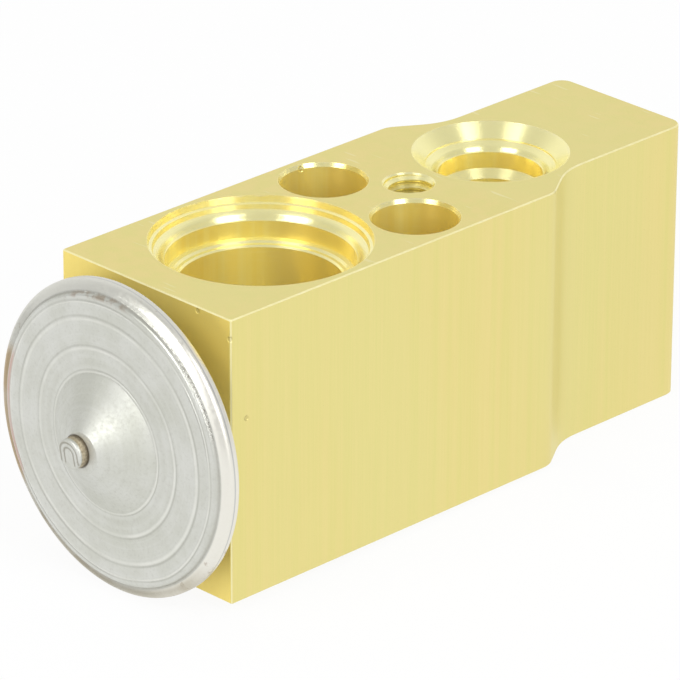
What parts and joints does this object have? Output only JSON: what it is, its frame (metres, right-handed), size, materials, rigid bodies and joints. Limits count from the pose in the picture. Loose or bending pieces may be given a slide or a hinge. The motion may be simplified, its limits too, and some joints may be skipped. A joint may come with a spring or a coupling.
{
  "type": "thermostatic expansion valve",
  "caption": "Block-type refrigerant expansion valve with a stainless power head, stepped pipe ports, mounting holes and an adjustable spring-loaded ball valve inside.",
  "frame": {"origin": "on the evaporator-side face, midway between the two mounting holes", "axes": "+Z out of the pipe side, +Y from the power head to the adjusting screw, X across the block"},
  "size_m": [0.0384, 0.0908, 0.0383],
  "materials": {
    "gold_aluminium": "satin, anodised pale gold, lightly brushed",
    "stainless_head": "satin stainless, light heat tint at the weld",
    "spring_steel": "bright",
    "ball_steel": "polished",
    "plain_aluminium": "turned",
    "screw_brass": "turned",
    "seal_rubber": "matte"
  },
  "bodies": {
    "block": {"valve_body": "gold_aluminium", "lower_cover": "stainless_head", "diaphragm": "spring_steel", "upper_cover": "stainless_head", "charge_plug": "stainless_head", "neck_o_ring": "seal_rubber", "rod_o_ring": "seal_rubber", "o_ring_retainer": "spring_steel", "bias_spring": "spring_steel"},
    "valve_train": {"stopper_plate": "plain_aluminium", "sensing_rod": "plain_aluminium", "push_rod": "spring_steel", "valve_ball": "ball_steel", "ball_carrier": "screw_brass", "damper_clip": "spring_steel"},
    "adjuster_slide": {"adjuster_o_ring": "seal_rubber"},
    "adjuster": {"adjusting_screw": "screw_brass"}
  },
  "joints": [
    {"name": "valve_stroke", "type": "slide", "parent": "block", "child": "valve_train", "axis": [0, 1, 0], "range_m": [0, 0.0008], "stiffness_N_per_m": 3000, "springref_m": -0.003, "deforming": ["bias_spring"]},
    {"name": "adjuster_feed", "type": "slide", "parent": "block", "child": "adjuster_slide", "axis": [0, 1, 0], "range_m": [0, 0.0015]},
    {"name": "adjuster_turn", "type": "hinge", "parent": "adjuster_slide", "child": "adjuster", "pos_m": [0, 0.0436, 0.0178], "axis": [0, 1, 0], "range_deg": [0, 539]}
  ],
  "couplings": [
    {"joint": "adjuster_feed", "follows": "adjuster_turn", "m_per_rad": 0.00015915}
  ]
}
